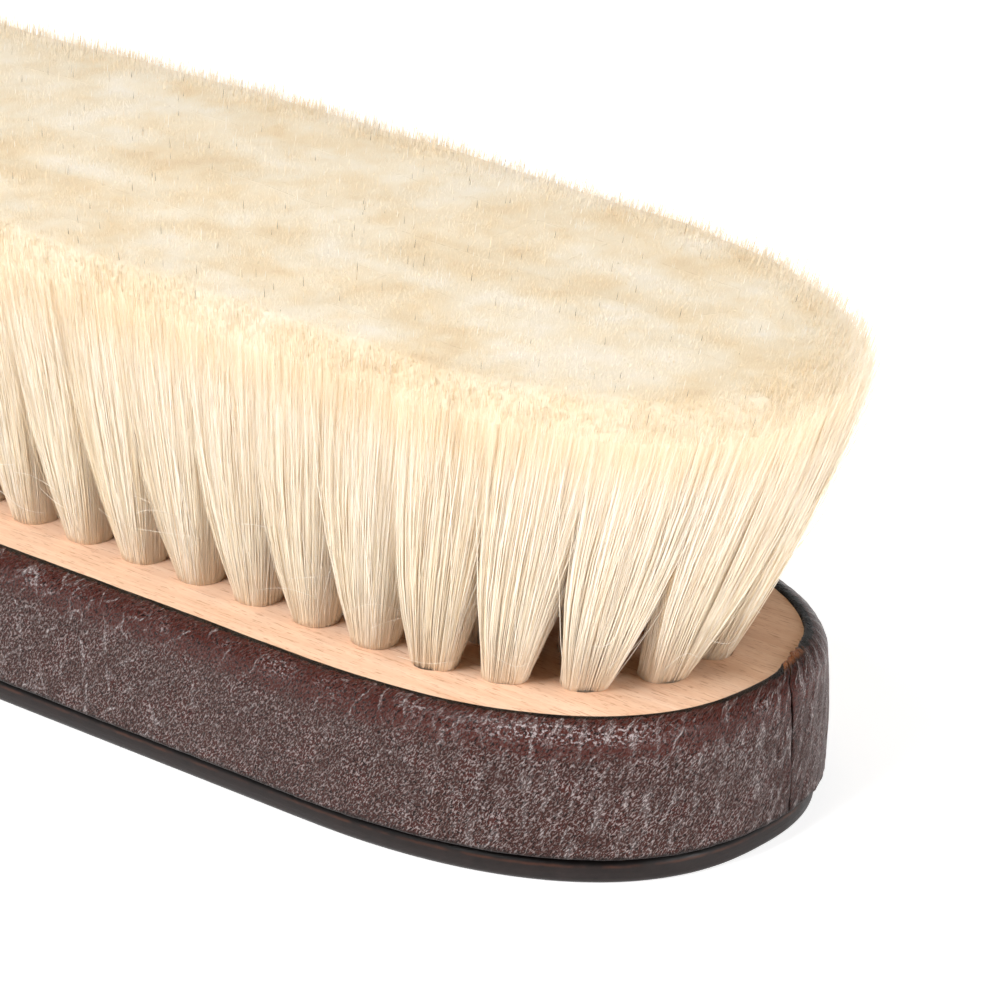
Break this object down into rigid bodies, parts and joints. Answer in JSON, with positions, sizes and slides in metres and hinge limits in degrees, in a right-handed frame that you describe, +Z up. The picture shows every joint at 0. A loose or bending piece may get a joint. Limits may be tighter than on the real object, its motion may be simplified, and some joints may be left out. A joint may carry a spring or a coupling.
{
  "type": "shoe shine brush",
  "caption": "Rounded-end shoe polishing brush: beech block wrapped in dark grained leather with a leather back plate and soft cream goat hair tufts fanned out at the edges and ends.",
  "frame": {"origin": "middle of the flat back that the brush lies on, below the middle of its length", "axes": "+X along the length towards the end with the wrap's seam, +Z up out of the back through the hair, +Y across the width"},
  "size_m": [0.197, 0.0594, 0.0543],
  "materials": {
    "beech": "bare sanded",
    "wrap_leather": "pebble grained, waxed semi-gloss",
    "plate_leather": "burnished black edge",
    "goat_hair": "soft undyed hair",
    "anchor_steel": "bright drawn"
  },
  "bodies": {
    "root": {"anchors_end_a": "anchor_steel", "anchors_end_b": "anchor_steel", "anchors_row_01": "anchor_steel", "anchors_row_02": "anchor_steel", "anchors_row_03": "anchor_steel", "anchors_row_04": "anchor_steel", "anchors_row_05": "anchor_steel", "anchors_row_06": "anchor_steel", "anchors_row_07": "anchor_steel", "anchors_row_08": "anchor_steel", "anchors_row_09": "anchor_steel", "anchors_row_10": "anchor_steel", "anchors_row_11": "anchor_steel", "anchors_row_12": "anchor_steel", "anchors_row_13": "anchor_steel", "anchors_row_14": "anchor_steel", "anchors_row_15": "anchor_steel", "back_plate": "plate_leather", "bristle_stock": "beech", "hair_end_a_corner": "goat_hair", "hair_end_a_inner": "goat_hair", "hair_end_a_shoulder": "goat_hair", "hair_end_a_tip": "goat_hair", "hair_end_b_corner": "goat_hair", "hair_end_b_inner": "goat_hair", "hair_end_b_shoulder": "goat_hair", "hair_end_b_tip": "goat_hair", "hair_row_01": "goat_hair", "hair_row_02": "goat_hair", "hair_row_03": "goat_hair", "hair_row_04": "goat_hair", "hair_row_05": "goat_hair", "hair_row_06": "goat_hair", "hair_row_07": "goat_hair", "hair_row_08": "goat_hair", "hair_row_09": "goat_hair", "hair_row_10": "goat_hair", "hair_row_11": "goat_hair", "hair_row_12": "goat_hair", "hair_row_13": "goat_hair", "hair_row_14": "goat_hair", "hair_row_15": "goat_hair", "side_wrap": "wrap_leather"}
  },
  "joints": []
}
